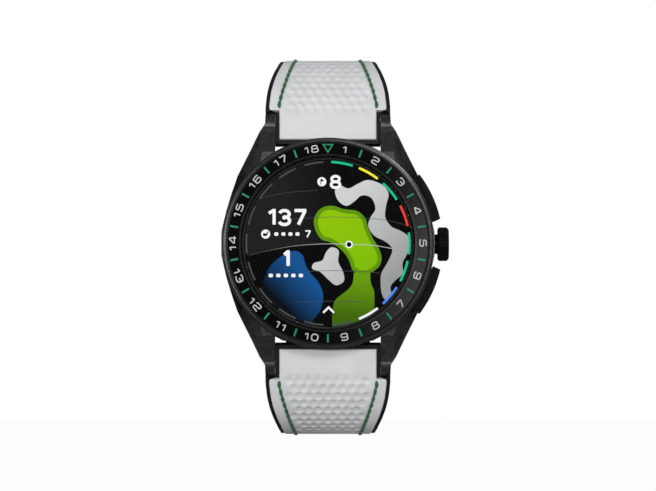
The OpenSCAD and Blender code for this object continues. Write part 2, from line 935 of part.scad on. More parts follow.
module clasp_plate() {
    leaf_half_y = clasp_pin_y - knuckle_r - 0.4;
    color(black_metal) placed() difference() {
        union() {
            along_x(arm_w - 1.6) intersection() {
                band([0, low_z], 0, plate_r_in, plate_r_out, bend_join, 220);
                translate([-leaf_half_y, -strap_depth]) square([2 * leaf_half_y, 20]);
            }
            // Middle tongues and knuckles round the hinge pins
            along_x(2 * knuckle_split - 0.2) intersection() {
                band([0, low_z], 0, plate_r_in, plate_r_out, bend_join, 220);
                translate([-clasp_pin_y, -strap_depth]) square([2 * clasp_pin_y, 20]);
            }
            for (s = [-1, 1]) {
                rod_x(knuckle_r, 2 * knuckle_split - 0.2, s * clasp_pin_y, pin_z);
            }
            // Latch block between the strap ends
            box([-block_half_w, block_half_w], [-block_half_y, block_half_y],
                [low_z - 42.6, low_z - plate_r_in - 0.4]);
        }
        for (s = [-1, 1]) {
            rod_x(bar_r + 0.01, 40, s * clasp_pin_y, pin_z);
            // Button bores with a wall left in the middle
            translate([s * (block_half_w + 2.6) / 2 + s * 2, 0, 0])
                rod_x(button_r + 0.05, block_half_w - 2.6 + 4, 0, button_z);
        }
    }
}

module clasp_hinge_pins() {
    color(steel) placed() {
        for (s = [-1, 1]) {
            rod_x(bar_r, arm_w - 0.2, s * clasp_pin_y, pin_z);
        }
    }
}

// Push button of the latch, built on the +x side.
module clasp_button() {
    translate([0, 0, button_z]) {
        rod_out(button_r, 4.6, 9.2);
        rod_out(button_r - 0.3, 9, 9.6);
    }
}

module clasp_spring() {
    translate([0, 0, button_z]) coil(0.85, 0.24, 0.2, 3, 2.62, 4.58);
}

module clasp_button_left() {
    color(black_metal) placed() mirror([1, 0, 0]) clasp_button();
}

module clasp_spring_left() {
    color(steel) placed() mirror([1, 0, 0]) clasp_spring();
}

module clasp_button_right() {
    color(black_metal) placed() clasp_button();
}

module clasp_spring_right() {
    color(steel) placed() clasp_spring();
}

case_body();
bezel_ring();
bezel_insert();
crystal();
crystal_gasket();
display_panel();
chassis();
main_board();
shield_can();
gps_antenna();
battery();
vibration_motor();
crown_tube();
pusher_tubes();
crown_sensor();
key_switches();
case_back();
case_back_gasket();
case_back_screws();
sensor_window();
sensor_board();
charging_contacts();
spring_bars();
crown_collar();
crown_spring();
crown_head();
crown_stem();
crown_o_ring();
pusher_top_head();
pusher_top_stem();
pusher_top_o_ring();
pusher_top_spring();
pusher_bottom_head();
pusher_bottom_stem();
pusher_bottom_o_ring();
pusher_bottom_spring();
strap_12_outer();
strap_12_lining();
strap_12_stitching();
strap_12_end();
strap_6_outer();
strap_6_lining();
strap_6_stitching();
strap_6_end();
clasp_arm_12();
clasp_bar_12();
clasp_arm_6();
clasp_bar_6();
clasp_plate();
clasp_hinge_pins();
clasp_button_left();
clasp_spring_left();
clasp_button_right();
clasp_spring_right();
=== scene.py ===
"""Golf watch: surface detail, screen, materials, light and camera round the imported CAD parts.

Shapes are worked out in the watch frame, in millimetres: x to 3 o'clock, y to 12 o'clock
and z out of the dial. place() turns them into the scene's frame in metres.
"""
import json
import math

import bpy
import numpy as np
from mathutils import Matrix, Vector


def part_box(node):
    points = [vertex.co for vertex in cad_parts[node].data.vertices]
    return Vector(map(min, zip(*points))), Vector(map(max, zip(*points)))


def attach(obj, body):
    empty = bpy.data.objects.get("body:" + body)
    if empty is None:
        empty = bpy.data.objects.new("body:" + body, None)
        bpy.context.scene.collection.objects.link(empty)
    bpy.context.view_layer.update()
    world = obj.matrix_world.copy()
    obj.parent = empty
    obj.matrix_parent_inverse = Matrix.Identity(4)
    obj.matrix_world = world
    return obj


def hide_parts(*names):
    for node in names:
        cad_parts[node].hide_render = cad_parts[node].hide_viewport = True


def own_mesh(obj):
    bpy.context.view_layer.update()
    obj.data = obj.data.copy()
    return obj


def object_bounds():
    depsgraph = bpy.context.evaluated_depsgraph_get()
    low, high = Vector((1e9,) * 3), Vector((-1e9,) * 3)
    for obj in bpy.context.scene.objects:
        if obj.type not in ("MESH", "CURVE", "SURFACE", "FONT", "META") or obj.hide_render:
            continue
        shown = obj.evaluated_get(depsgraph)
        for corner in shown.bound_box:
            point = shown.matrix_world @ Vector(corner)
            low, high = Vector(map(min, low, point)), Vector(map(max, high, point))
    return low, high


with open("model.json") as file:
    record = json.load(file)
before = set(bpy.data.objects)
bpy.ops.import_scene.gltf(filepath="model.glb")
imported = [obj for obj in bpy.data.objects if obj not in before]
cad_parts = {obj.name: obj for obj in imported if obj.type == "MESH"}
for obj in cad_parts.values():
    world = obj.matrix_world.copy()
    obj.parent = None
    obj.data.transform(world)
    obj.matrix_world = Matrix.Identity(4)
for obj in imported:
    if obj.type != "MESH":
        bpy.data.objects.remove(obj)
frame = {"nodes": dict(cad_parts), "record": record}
cad_low, cad_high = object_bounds()
nodes = frame["nodes"]
slot_of = {part["node"]: part["material_slot"] for part in frame["record"]["subparts"]}

MM = 0.001
INK_LAYER = 0.02  # thickness of one layer of the picture on the display


# ---- Places and outlines ----

def place(x, y, z):
    """A watch-frame point in the scene's frame."""
    return (x * MM, -z * MM, y * MM)


def box_mm(node):
    """A node's box in the watch frame: x, y and z ranges in millimetres."""
    low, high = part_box(node)
    return ((low.x / MM, high.x / MM), (low.z / MM, high.z / MM), (-high.y / MM, -low.y / MM))


def polar(radius, degrees):
    """Point on the dial at an angle clockwise from 12 o'clock."""
    a = math.radians(degrees)
    return (radius * math.sin(a), radius * math.cos(a))


def arc(radius, start, end, steps=12):
    """Points on a dial circle from one clockwise angle to another."""
    return [polar(radius, start + (end - start) * i / steps) for i in range(steps + 1)]


def oval(cx, cy, rx, ry, start=0.0, end=360.0, steps=24):
    """Points on an ellipse, angles anticlockwise from +x. A full turn leaves out the last point."""
    count = steps if abs(end - start) >= 360 else steps + 1
    turn = [math.radians(start + (end - start) * i / steps) for i in range(count)]
    return [(cx + rx * math.cos(a), cy + ry * math.sin(a)) for a in turn]


def smooth_loop(points, steps=6, closed=True):
    """Catmull-Rom curve through the points."""
    p = np.array(points, float)
    n = len(p)
    out = []
    for i in range(n if closed else n - 1):
        if closed:
            a, b, c, d = p[i - 1], p[i], p[(i + 1) % n], p[(i + 2) % n]
        else:
            a, b, c, d = p[max(i - 1, 0)], p[i], p[i + 1], p[min(i + 2, n - 1)]
        for k in range(steps):
            t = k / steps
            out.append(0.5 * (2 * b + (c - a) * t + (2 * a - 5 * b + 4 * c - d) * t ** 2
                              + (3 * b - a - 3 * c + d) * t ** 3))
    if not closed:
        out.append(p[-1])
    return [tuple(q) for q in out]


def round_corners(points, radius, closed=False, steps=4):
    """Replaces each inner corner of a line by a short curve."""
    p = [np.array(q, float) for q in points]
    n = len(p)
    out = []
    for i in range(n):
        if not closed and i in (0, n - 1):
            out.append(tuple(p[i]))
            continue
        before, here, after = p[i - 1], p[i], p[(i + 1) % n]
        into, away = before - here, after - here
        cut = min(radius, np.linalg.norm(into) / 2, np.linalg.norm(away) / 2)
        first = here + into / np.linalg.norm(into) * cut
        last = here + away / np.linalg.norm(away) * cut
        for k in range(steps + 1):
            t = k / steps
            out.append(tuple(first * (1 - t) ** 2 + here * 2 * t * (1 - t) + last * t ** 2))
    return out


def shrink(points, distance):
    """Moves a clockwise or anticlockwise outline inwards by a distance."""
    p = np.array(points, float)
    ahead = np.roll(p, -1, axis=0) - np.roll(p, 1, axis=0)
    ahead /= np.linalg.norm(ahead, axis=1)[:, None]
    area = np.sum(p[:, 0] * np.roll(p[:, 1], -1) - np.roll(p[:, 0], -1) * p[:, 1])
    side = np.stack([-ahead[:, 1], ahead[:, 0]], axis=1) * (1 if area > 0 else -1)
    return [tuple(q) for q in p + side * distance]


def distinct(points, closed=False):
    """The points without any that repeat the one before."""
    kept = [points[0]]
    for q in points[1:]:
        if math.dist(q, kept[-1]) > 1e-6:
            kept.append(q)
    if closed and math.dist(kept[0], kept[-1]) < 1e-6:
        kept.pop()
    return kept


# ---- Meshes ----

class Solid:
    """Collects the faces of one piece. lift(x, y, level) gives a point at level 0 or 1."""

    def __init__(self, lift):
        self.lift = lift
        self.verts = []
        self.faces = []

    def add(self, verts, faces):
        base = len(self.verts)
        self.verts += verts
        self.faces += [tuple(base + i for i in f) for f in faces]

    def plate(self, outline):
        """Closed plate from an outline."""
        area = sum(a[0] * b[1] - b[0] * a[1] for a, b in zip(outline, outline[1:] + outline[:1]))
        if area < 0:
            outline = outline[::-1]
        n = len(outline)
        verts = [self.lift(x, y, 0) for x, y in outline] + [self.lift(x, y, 1) for x, y in outline]
        sides = [(i, (i + 1) % n, n + (i + 1) % n, n + i) for i in range(n)]
        self.add(verts, sides + [tuple(range(n, 2 * n)), tuple(range(n - 1, -1, -1))])

    def stroke(self, path, width, closed=False):
        """Band of one width along a path, with square ends."""
        p = np.array(distinct(path, closed), float)
        n = len(p)
        if closed:
            before, after = p - np.roll(p, 1, axis=0), np.roll(p, -1, axis=0) - p
        else:
            steps = p[1:] - p[:-1]
            before, after = np.vstack([steps[:1], steps]), np.vstack([steps, steps[-1:]])
        before /= np.linalg.norm(before, axis=1)[:, None]
        after /= np.linalg.norm(after, axis=1)[:, None]
        bisector = before + after
        bisector /= np.linalg.norm(bisector, axis=1)[:, None]
        reach = width / 2 / np.clip(np.sum(bisector * before, axis=1), 0.5, 1)
        side = np.stack([-bisector[:, 1], bisector[:, 0]], axis=1) * reach[:, None]
        left, right = p + side, p - side
        verts = []
        for level in (0, 1):
            for i in range(n):
                verts.append(self.lift(left[i][0], left[i][1], level))
                verts.append(self.lift(right[i][0], right[i][1], level))
        faces = []
        top = 2 * n
        for i in range(n if closed else n - 1):
            a, b = 2 * i, 2 * ((i + 1) % n)
            faces.append((top + a, top + a + 1, top + b + 1, top + b))
            faces.append((a, b, b + 1, a + 1))
            faces.append((a, top + a, top + b, b))
            faces.append((a + 1, b + 1, top + b + 1, top + a + 1))
        if not closed:
            e = 2 * (n - 1)
            faces.append((0, 1, top + 1, top))
            faces.append((e, top + e, top + e + 1, e + 1))
        self.add(verts, faces)


def make_piece(name, verts, faces, material, body, smooth=None):
    """A mesh object that rides on a body. smooth is the angle above which an edge stays sharp."""
    mesh = bpy.data.meshes.new(name)
    mesh.from_pydata([tuple(v) for v in verts], [], faces)
    mesh.materials.append(material)
    mesh.update()
    if smooth:
        mesh.shade_smooth()
        mesh.set_sharp_from_angle(angle=math.radians(smooth))
    obj = bpy.data.objects.new(name, mesh)
    bpy.context.scene.collection.objects.link(obj)
    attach(obj, body)
    return obj


# ---- Materials ----

def srgb(r, g, b):
    """A screen colour, 0 to 255, as linear light."""
    return tuple((c / 255 / 12.92 if c <= 10 else ((c / 255 + 0.055) / 1.055) ** 2.4)
                 for c in (r, g, b)) + (1.0,)


def grey(level):
    return srgb(level, level, level)


def new_material(name, **settings):
    """A principled material and its node tree. Settings are socket names with _ for spaces."""
    mat = bpy.data.materials.new(name)
    mat.use_nodes = True
    shader = mat.node_tree.nodes["Principled BSDF"]
    for key, value in settings.items():
        shader.inputs[key.replace("_", " ")].default_value = value
    return mat, mat.node_tree, shader


def noise(tree, scale, detail=4.0, stretch=(1, 1, 1)):
    """Noise over the object's own coordinates, stretched along the axes."""
    coords = tree.nodes.new("ShaderNodeTexCoord")
    mapping = tree.nodes.new("ShaderNodeMapping")
    texture = tree.nodes.new("ShaderNodeTexNoise")
    mapping.inputs["Scale"].default_value = stretch
    texture.inputs["Scale"].default_value = scale
    texture.inputs["Detail"].default_value = detail
    tree.links.new(coords.outputs["Object"], mapping.inputs["Vector"])
    tree.links.new(mapping.outputs["Vector"], texture.inputs["Vector"])
    return texture.outputs["Fac"]


def ramp(tree, value, *stops):
    """Colour ramp over a value; each stop is (place, colour)."""
    node = tree.nodes.new("ShaderNodeValToRGB")
    elements = node.color_ramp.elements
    for element, (at, colour) in zip(elements, stops):
        element.position = at
        element.color = colour
    for at, colour in stops[2:]:
        elements.new(at).color = colour
    tree.links.new(value, node.inputs["Fac"])
    return node.outputs["Color"]


def bump(tree, shader, heights, distance, strength=1.0, after=None):
    """Bump from a height value; after is an earlier bump it adds to."""
    node = tree.nodes.new("ShaderNodeBump")
    node.inputs["Strength"].default_value = strength
    node.inputs["Distance"].default_value = distance
    tree.links.new(heights, node.inputs["Height"])
    if after is not None:
        tree.links.new(after, node.inputs["Normal"])
    tree.links.new(node.outputs["Normal"], shader.inputs["Normal"])
    return node.outputs["Normal"]


def worn(name, dark, light, rough, grain, depth, stretch=(1, 1, 1), **settings):
    """Material with colour and roughness that vary, and a fine grain."""
    mat, tree, shader = new_material(name, **settings)
    patches = noise(tree, grain * 0.12, 3.0, stretch)
    fine = noise(tree, grain, 5.0, stretch)
    tree.links.new(ramp(tree, patches, (0.3, dark), (0.7, light)), shader.inputs["Base Color"])
    low, high = (max(0.0, rough - 0.07),) * 3 + (1.0,), (min(1.0, rough + 0.07),) * 3 + (1.0,)
    tree.links.new(ramp(tree, fine, (0.3, low), (0.7, high)), shader.inputs["Roughness"])
    bump(tree, shader, fine, depth)
    return mat


def coated_titanium():
    """Matte black coating, brushed faintly, a little paler where it has rubbed."""
    return worn("coated_titanium", grey(62), grey(82), 0.42, 9000, 0.000004,
                Metallic=0.85, Specular_IOR_Level=0.4)


def object_xyz(tree):
    """Separate x, y and z of the object's own coordinates."""
    coords = tree.nodes.new("ShaderNodeTexCoord")
    parts = tree.nodes.new("ShaderNodeSeparateXYZ")
    tree.links.new(coords.outputs["Object"], parts.inputs["Vector"])
    return parts.outputs


def math_node(tree, operation, first, second):
    """One math step; each input is a socket or a number."""
    node = tree.nodes.new("ShaderNodeMath")
    node.operation = operation
    for socket, value in zip(node.inputs, (first, second)):
        if isinstance(value, (int, float)):
            socket.default_value = value
        else:
            tree.links.new(value, socket)
    return node.outputs["Value"]


def dial_radius(tree, scale):
    """Distance from the dial's axis, divided by scale metres."""
    x, _, z = object_xyz(tree)
    across = math_node(tree, "POWER", math_node(tree, "ABSOLUTE", x, 0.0), 2.0)
    up = math_node(tree, "POWER", math_node(tree, "ABSOLUTE", z, 0.0), 2.0)
    radius = math_node(tree, "SQRT", math_node(tree, "ADD", across, up), 0.0)
    return math_node(tree, "DIVIDE", radius, scale)


def rim_metal():
    """Satin black rim, turned on a lathe: fine rings, and painted shade that darkens the inner lip under
    the insert.
    """
    mat, tree, shader = new_material("rim_metal", Metallic=1.0)
    coords = tree.nodes.new("ShaderNodeTexCoord")
    rings = tree.nodes.new("ShaderNodeTexWave")
    rings.wave_type = "RINGS"
    rings.rings_direction = "Y"
    rings.inputs["Scale"].default_value = 2500
    rings.inputs["Distortion"].default_value = 1.5
    tree.links.new(coords.outputs["Object"], rings.inputs["Vector"])
    colour = ramp(tree, rings.outputs["Fac"], (0.0, grey(54)), (1.0, grey(66)))
    # Painted shade: the rim's inner lip under the insert gets a darker base colour
    painted_lip_shade = tree.nodes.new("ShaderNodeMix")
    painted_lip_shade.data_type = "RGBA"
    outside = ramp(tree, dial_radius(tree, 0.025), (0.82, (0, 0, 0, 1)), (0.84, (1, 1, 1, 1)))
    tree.links.new(outside, painted_lip_shade.inputs["Factor"])
    painted_lip_shade.inputs[6].default_value = grey(26)
    tree.links.new(colour, painted_lip_shade.inputs[7])
    tree.links.new(painted_lip_shade.outputs[2], shader.inputs["Base Color"])
    rough = ramp(tree, noise(tree, 900), (0.3, (0.26,) * 3 + (1,)), (0.7, (0.36,) * 3 + (1,)))
    tree.links.new(rough, shader.inputs["Roughness"])
    bump(tree, shader, rings.outputs["Fac"], 0.000003)
    return mat


REFLECTION_ANGLE = 104  # clockwise dial angle of the painted reflection, where the insert is palest
REFLECTION_REACH = 0.021  # metres from the dial's axis to the palest place of the painted reflection


def polished_ceramic():
    """Gloss black ceramic with a painted reflection that fades it to charcoal towards the crown, and a few
    hairline marks.
    """
    mat, tree, shader = new_material("polished_ceramic", Specular_IOR_Level=0.16)
    marks = noise(tree, 1800, 6.0, (1, 1, 12))
    x, _, z = object_xyz(tree)
    toward = polar(1 / REFLECTION_REACH, REFLECTION_ANGLE)
    side = math_node(tree, "ADD", math_node(tree, "MULTIPLY", x, toward[0]),
                     math_node(tree, "MULTIPLY", z, toward[1]))
    side = math_node(tree, "ADD", side, math_node(tree, "MULTIPLY", marks, 0.05))
    # Painted reflection: the base colour goes from black to charcoal towards the crown, in place of a soft
    # light reflected on that side of the insert
    painted_reflection = ramp(tree, side, (0.2, grey(3)), (0.98, grey(64)), (0.5, grey(17)), (0.74, grey(40)))
    tree.links.new(painted_reflection, shader.inputs["Base Color"])
    rough = ramp(tree, marks, (0.3, (0.10,) * 3 + (1,)), (0.72, (0.20,) * 3 + (1,)))
    tree.links.new(rough, shader.inputs["Roughness"])
    bump(tree, shader, marks, 0.000001)
    return mat


HEAD_ON_GLOSS = 0.01  # share of light the coated crystal reflects when seen square on


def coated_glass():
    """Clear glass with an anti-reflection coat and faint smears."""
    mat = bpy.data.materials.new("coated_glass")
    mat.use_nodes = True
    tree = mat.node_tree
    tree.nodes.remove(tree.nodes["Principled BSDF"])
    clear = tree.nodes.new("ShaderNodeBsdfTransparent")
    clear.inputs["Color"].default_value = (0.985, 0.99, 1.0, 1)
    gloss = tree.nodes.new("ShaderNodeBsdfGlossy")
    smears = ramp(tree, noise(tree, 260, 3.0), (0.4, (0.01,) * 3 + (1,)), (0.8, (0.09,) * 3 + (1,)))
    tree.links.new(smears, gloss.inputs["Roughness"])
    # Facing is the same on the crystal's front and back faces, so the display shows at any angle
    slant = tree.nodes.new("ShaderNodeLayerWeight")
    slant.inputs["Blend"].default_value = 0.5
    steep = math_node(tree, "POWER", slant.outputs["Facing"], 5.0)
    mirror = math_node(tree, "ADD", math_node(tree, "MULTIPLY", steep, 1 - HEAD_ON_GLOSS), HEAD_ON_GLOSS)
    mix = tree.nodes.new("ShaderNodeMixShader")
    tree.links.new(mirror, mix.inputs["Fac"])
    tree.links.new(clear.outputs["BSDF"], mix.inputs[1])
    tree.links.new(gloss.outputs["BSDF"], mix.inputs[2])
    tree.links.new(mix.outputs["Shader"], tree.nodes["Material Output"].inputs["Surface"])
    return mat


def lit(name, colour, other=None, across=None, grain=0.05):
    """Light of the display. across is (start, end): two dial points that the colour fades between."""
    mat, tree, shader = new_material(name, Base_Color=grey(6), Roughness=0.4, Specular_IOR_Level=0.0,
                                     Emission_Strength=1.0)
    pixels = noise(tree, 6000, 2.0)
    dim = tuple(c * (1 - grain) for c in colour[:3]) + (1.0,)
    shade = ramp(tree, pixels, (0.35, dim), (0.65, colour))
    if other is not None:
        start, end = Vector(place(*across[0], 0)), Vector(place(*across[1], 0))
        along = end - start
        coords = tree.nodes.new("ShaderNodeTexCoord")
        shift = tree.nodes.new("ShaderNodeVectorMath")
        shift.operation = "SUBTRACT"
        shift.inputs[1].default_value = start
        project = tree.nodes.new("ShaderNodeVectorMath")
        project.operation = "DOT_PRODUCT"
        project.inputs[1].default_value = along / along.length_squared
        tree.links.new(coords.outputs["Object"], shift.inputs[0])
        tree.links.new(shift.outputs["Vector"], project.inputs[0])
        fade = tree.nodes.new("ShaderNodeMix")
        fade.data_type = "RGBA"
        tree.links.new(project.outputs["Value"], fade.inputs["Factor"])
        tree.links.new(shade, fade.inputs[6])
        fade.inputs[7].default_value = other
        shade = fade.outputs[2]
    tree.links.new(shade, shader.inputs["Emission Color"])
    return mat


def white_rubber():
    """Matte white rubber, a touch translucent, with a fine moulded grain."""
    mat, tree, shader = new_material("white_rubber", Subsurface_Weight=0.12, Subsurface_Scale=0.0008)
    shader.inputs["Subsurface Radius"].default_value = (1.0, 0.9, 0.8)
    cloudy = ramp(tree, noise(tree, 160, 3.0), (0.3, srgb(226, 226, 228)), (0.7, srgb(236, 236, 237)))
    tree.links.new(cloudy, shader.inputs["Base Color"])
    fine = noise(tree, 9000, 4.0)
    rough = ramp(tree, fine, (0.3, (0.48,) * 3 + (1,)), (0.7, (0.62,) * 3 + (1,)))
    tree.links.new(rough, shader.inputs["Roughness"])
    bump(tree, shader, fine, 0.000006)
    return mat


def thread():
    """Twisted polyester thread: green with darker fibres and a soft sheen."""
    mat, tree, shader = new_material("thread", Sheen_Weight=0.3, Sheen_Roughness=0.4)
    fibres = noise(tree, 5200, 5.0, (1, 1, 2.4))
    colour = ramp(tree, fibres, (0.32, srgb(5, 45, 24)), (0.68, srgb(48, 128, 80)))
    tree.links.new(colour, shader.inputs["Base Color"])
    rough = ramp(tree, fibres, (0.3, (0.55,) * 3 + (1,)), (0.7, (0.8,) * 3 + (1,)))
    tree.links.new(rough, shader.inputs["Roughness"])
    bump(tree, shader, fibres, 0.00003)
    return mat


def circuit_board():
    """Green solder mask with paler copper tracks."""
    mat, tree, shader = new_material("circuit_board", Roughness=0.35, Coat_Weight=0.3)
    coords = tree.nodes.new("ShaderNodeTexCoord")
    tracks = tree.nodes.new("ShaderNodeTexBrick")
    tracks.inputs["Scale"].default_value = 900
    tracks.inputs["Mortar Size"].default_value = 0.03
    tracks.inputs["Color1"].default_value = srgb(12, 78, 44)
    tracks.inputs["Color2"].default_value = srgb(18, 92, 52)
    tracks.inputs["Mortar"].default_value = srgb(70, 140, 86)
    turned = tree.nodes.new("ShaderNodeMapping")
    turned.inputs["Rotation"].default_value = (math.radians(90), 0, 0)
    tree.links.new(coords.outputs["Object"], turned.inputs["Vector"])
    tree.links.new(turned.outputs["Vector"], tracks.inputs["Vector"])
    tree.links.new(tracks.outputs["Color"], shader.inputs["Base Color"])
    bump(tree, shader, tracks.outputs["Fac"], 0.00002)
    return mat


slot_materials = {
    "black_titanium": coated_titanium(),
    "black_ceramic": polished_ceramic(),
    "sapphire": coated_glass(),
    "black_seal": worn("seal_rubber", grey(18), grey(28), 0.6, 3000, 0.00001),
    "screen": worn("display_edge", grey(4), grey(8), 0.4, 4000, 0.000002, Specular_IOR_Level=0.0),
    "dark_plastic": worn("moulded_plastic", grey(36), grey(48), 0.5, 5000, 0.000008),
    "circuit_board": circuit_board(),
    "steel": worn("brushed_steel", grey(168), grey(196), 0.3, 4000, 0.000003, (0.2, 1, 1), Metallic=1.0),
    "spring_steel": worn("spring_wire", grey(150), grey(176), 0.25, 5000, 0.000002, Metallic=1.0),
    "antenna_gold": worn("gold_plate", srgb(196, 150, 70), srgb(226, 184, 104), 0.3, 4000,
                         0.000003, Metallic=1.0),
    "battery_foil": worn("battery_foil", grey(150), grey(184), 0.35, 2500, 0.00001, Metallic=0.9),
    "sensor_glass": worn("sensor_glass", grey(10), grey(16), 0.06, 2000, 0.000001,
                         Coat_Weight=1.0, Coat_Roughness=0.03),
    "white_rubber": white_rubber(),
    "black_lining": worn("lining_rubber", grey(14), grey(22), 0.6, 6000, 0.00001,
                         Specular_IOR_Level=0.25),
    "green_thread": thread(),
}

for node_name, node in nodes.items():
    node.data.materials.clear()
    node.data.materials.append(slot_materials[slot_of[node_name]])
nodes["bezel_ring"].data.materials[0] = rim_metal()
control_black = worn("control_black", grey(5), grey(11), 0.55, 7000, 0.000006, Specular_IOR_Level=0.08)
for node_name in ("crown_head", "crown_tube", "crown_collar", "pusher_tubes", "pusher_top_head",
                  "pusher_bottom_head"):
    nodes[node_name].data.materials[0] = control_black
nodes["crystal_gasket"].data.materials[0] = worn("gasket_rubber", grey(3), grey(7), 0.7, 3000, 0.00001,
                                                 Specular_IOR_Level=0.03)

# Curved CAD faces are shaded smooth and their real edges stay sharp.
for node in nodes.values():
    node.data.shade_smooth()
    node.data.set_sharp_from_angle(angle=math.radians(28))


# ---- Numerals on the bezel ----

# Each numeral is one unit high: (width, strokes), a stroke is (closed, points).
DIGITS = {
    "0": (0.86, [(True, [(0, 0), (0.86, 0), (0.86, 1), (0, 1)])]),
    "1": (0.46, [(False, [(0, 0.72), (0.46, 1), (0.46, 0)])]),
    "2": (0.86, [(False, [(0, 0.8), (0, 1), (0.86, 1), (0.86, 0.52), (0, 0.45), (0, 0), (0.86, 0)])]),
    "3": (0.86, [(False, [(0, 0.8), (0, 1), (0.86, 1), (0.86, 0), (0, 0), (0, 0.2)]),
                 (False, [(0.3, 0.52), (0.86, 0.52)])]),
    "4": (0.94, [(False, [(0.7, 0), (0.7, 1), (0.55, 1), (0, 0.36), (0, 0.24), (0.94, 0.24)])]),
    "5": (0.86, [(False, [(0.82, 1), (0.06, 1), (0, 0.52), (0.86, 0.6), (0.86, 0), (0, 0), (0, 0.2)])]),
    "6": (0.86, [(False, [(0.82, 0.82), (0.82, 1), (0, 1), (0, 0.5)]),
                 (True, [(0, 0), (0.86, 0), (0.86, 0.56), (0, 0.56)])]),
    "7": (0.82, [(False, [(0, 1), (0.82, 1), (0.82, 0.86), (0.3, 0)])]),
    "8": (0.86, [(True, [(0.05, 0.53), (0.81, 0.53), (0.81, 1), (0.05, 1)]),
                 (True, [(0, 0), (0.86, 0), (0.86, 0.53), (0, 0.53)])]),
    "9": (0.86, [(False, [(0.04, 0.18), (0.04, 0), (0.86, 0), (0.86, 0.5)]),
                 (True, [(0, 0.44), (0.86, 0.44), (0.86, 1), (0, 1)])]),
}


NUMERAL_STRETCH = 1.14


def write_number(solid, text, to_dial, height, weight, gap, corner):
    """Draws a number centred on the origin of its own plane; to_dial maps it to the dial."""
    widths = [DIGITS[c][0] * height * NUMERAL_STRETCH for c in text]
    across = -(sum(widths) + gap * (len(text) - 1)) / 2
    inner = height - weight
    for c, width in zip(text, widths):
        for closed, points in DIGITS[c][1]:
            line = round_corners(points, corner, closed)
            flat = [(across + weight / 2 + x / DIGITS[c][0] * (width - weight), y * inner - inner / 2)
                    for x, y in line]
            solid.stroke([to_dial(x, y) for x, y in flat], weight, closed)
        across += width + gap


(_, _, (_, bezel_top)) = box_mm("bezel_insert")
CONE_WIDTH = 2.33
CONE_FALL = 0.43  # fall of the insert's face for each millimetre outward
insert_r = box_mm("bezel_insert")[0][1]
cone_start = insert_r - CONE_WIDTH
NUMERAL_R = 20.2
INLAY_LIFT = 0.03


def on_bezel(x, y, level):
    """Point on the bezel's sloping face; level 1 is just above it and 0 just inside it."""
    z = bezel_top - CONE_FALL * max(0.0, math.hypot(x, y) - cone_start)
    return place(x, y, z + (INLAY_LIFT if level else -INLAY_LIFT))


def at_angle(degrees, outward=True, radius=NUMERAL_R):
    """Maps a small drawing to the bezel at an angle, its top outward or inward."""
    out = polar(1, degrees)
    across = (out[1], -out[0])
    sign = 1 if outward else -1

    def to_dial(u, v):
        return (out[0] * (radius + sign * v) + across[0] * sign * u,
                out[1] * (radius + sign * v) + across[1] * sign * u)
    return to_dial


NUMERAL_HEIGHT = 1.62
NUMERAL_WEIGHT = 0.25
NUMERAL_GAP = 0.6
NUMERAL_CORNER = 0.42
TICK_HALF = 0.85
TICK_WIDTH = 0.38
numerals = Solid(on_bezel)
ticks = Solid(on_bezel)
HOLES = 18
STEP = 360 / HOLES
for hole in range(1, HOLES + 1):
    angle = STEP * hole - STEP / 2
    upright = not 110 <= angle <= 250
    write_number(numerals, str(hole), at_angle(angle, upright), NUMERAL_HEIGHT, NUMERAL_WEIGHT,
                 NUMERAL_GAP, NUMERAL_CORNER)
    if hole < HOLES:
        mark = at_angle(STEP * hole)
        ticks.stroke([mark(0, -TICK_HALF), mark(0, TICK_HALF)], TICK_WIDTH)
# A plain triangle marks 12 o'clock
marker = at_angle(0)
ticks.stroke([marker(u, v) for u, v in [(-1.0, 0.75), (1.0, 0.75), (0, -0.85)]], 0.3, closed=True)

ink_white = worn("numeral_ink", grey(198), grey(222), 0.35, 5000, 0.000002)
ink_green = worn("tick_ink", srgb(30, 138, 98), srgb(48, 160, 116), 0.35, 5000, 0.000002)
make_piece("bezel_numerals", numerals.verts, numerals.faces, ink_white, "case")
make_piece("bezel_ticks", ticks.verts, ticks.faces, ink_green, "case")


# ---- Display ----

(panel_x, _, (panel_low, panel_high)) = box_mm("display_panel")
panel_r = panel_x[1]
LAYERS = 9
glass_gap = 0.02
picture_z = panel_high - glass_gap - LAYERS * INK_LAYER
EDGE_R = panel_r - 0.1


def picture_layer(index):
    """Lift for the numbered layer of the picture; every layer starts at the panel."""
    def lift(x, y, level):
        return place(x, y, picture_z + (INK_LAYER * index if level else -0.005))
    return lift


def draw(name, layer, material, plates=(), strokes=()):
    """One piece of the picture from plates (outlines) and strokes (path, width, closed)."""
    solid = Solid(picture_layer(layer))
    for outline in plates:
        solid.plate(list(outline))
    for path, width, closed in strokes:
        solid.stroke(path, width, closed)
    return make_piece(name, solid.verts, solid.faces, material, "case")


# Panel: a thin disc under the glass
panel = Solid(lambda x, y, level: place(x, y, picture_z if level else panel_low))
panel.plate(oval(0, 0, panel_r, panel_r, steps=96))
panel_piece = make_piece("display_face", panel.verts, panel.faces,
                         slot_materials["screen"], "case")
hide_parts("display_panel")

white = lit("lit_white", grey(252))
# Charcoal sky that fades to black on the right
sky = arc(EDGE_R, 262, 366, 40)
sky += smooth_loop([(2.0, 9.0), (0.2, 4.0), (-0.9, -0.1), (-6.8, -0.4), (-12, -1.3)], 6, False)
draw("screen_sky", 1, lit("lit_charcoal", grey(29), grey(2), ((-8, 6), (3, 8)), 0.12), [sky])

lake = smooth_loop([(-14.0, -9.4), (-12.8, -5.7), (-10.9, -3.5), (-8.8, -2.1), (-6.8, -1.6), (-5.3, -2.6),
                    (-4.8, -4.4), (-3.7, -6.3), (-2.0, -8.3), (-1.0, -11.0), (-1.5, -13.9),
                    (-3.2, -16.4)], 6, False)
lake += arc(EDGE_R, 191, 233, 20)
draw("screen_lake", 1, lit("lit_blue", srgb(18, 84, 146), srgb(2, 8, 16), ((-5, -6.5), (-10.6, -12)), 0.08),
     [lake])

